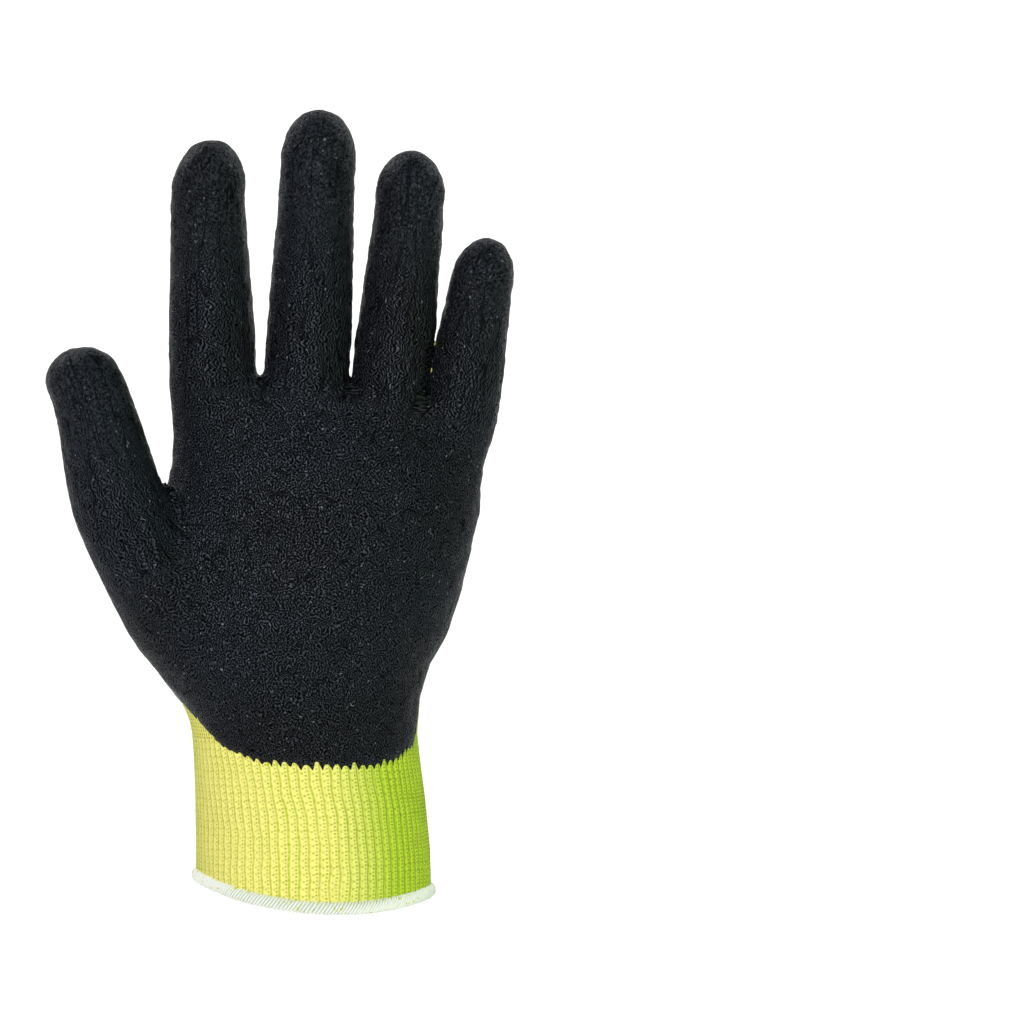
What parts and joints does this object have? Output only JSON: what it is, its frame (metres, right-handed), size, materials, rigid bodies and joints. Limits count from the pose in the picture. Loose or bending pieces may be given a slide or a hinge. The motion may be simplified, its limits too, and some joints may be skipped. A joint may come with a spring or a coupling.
{
  "type": "latex coated grip glove",
  "caption": "Left-hand knitted work glove with a crinkle latex palm coating, ribbed knit wrist and overlocked hem, standing as worn",
  "frame": {"origin": "the middle of the wrist opening, level with the lowest point of the hem", "axes": "+Z from the wrist opening to the fingertips, -Y out of the coated palm, -X to the thumb and +X to the little finger"},
  "size_m": [0.1427, 0.0578, 0.2469],
  "materials": {
    "neon_knit": "seamless plain knit of high-visibility yellow yarn, matte",
    "neon_rib": "elastic rib knit of high-visibility yellow yarn, matte",
    "black_latex": "black foamed latex with a fine crinkle, matte",
    "white_yarn": "white overlock yarn wrapped over the edge"
  },
  "bodies": {
    "root": {"liner_palm": "neon_knit", "liner_index": "neon_knit", "liner_middle": "neon_knit", "liner_ring": "neon_knit", "liner_little": "neon_knit", "liner_thumb": "neon_knit", "knit_cuff": "neon_rib", "latex_coating": "black_latex", "hem_overlock": "white_yarn"}
  },
  "joints": []
}
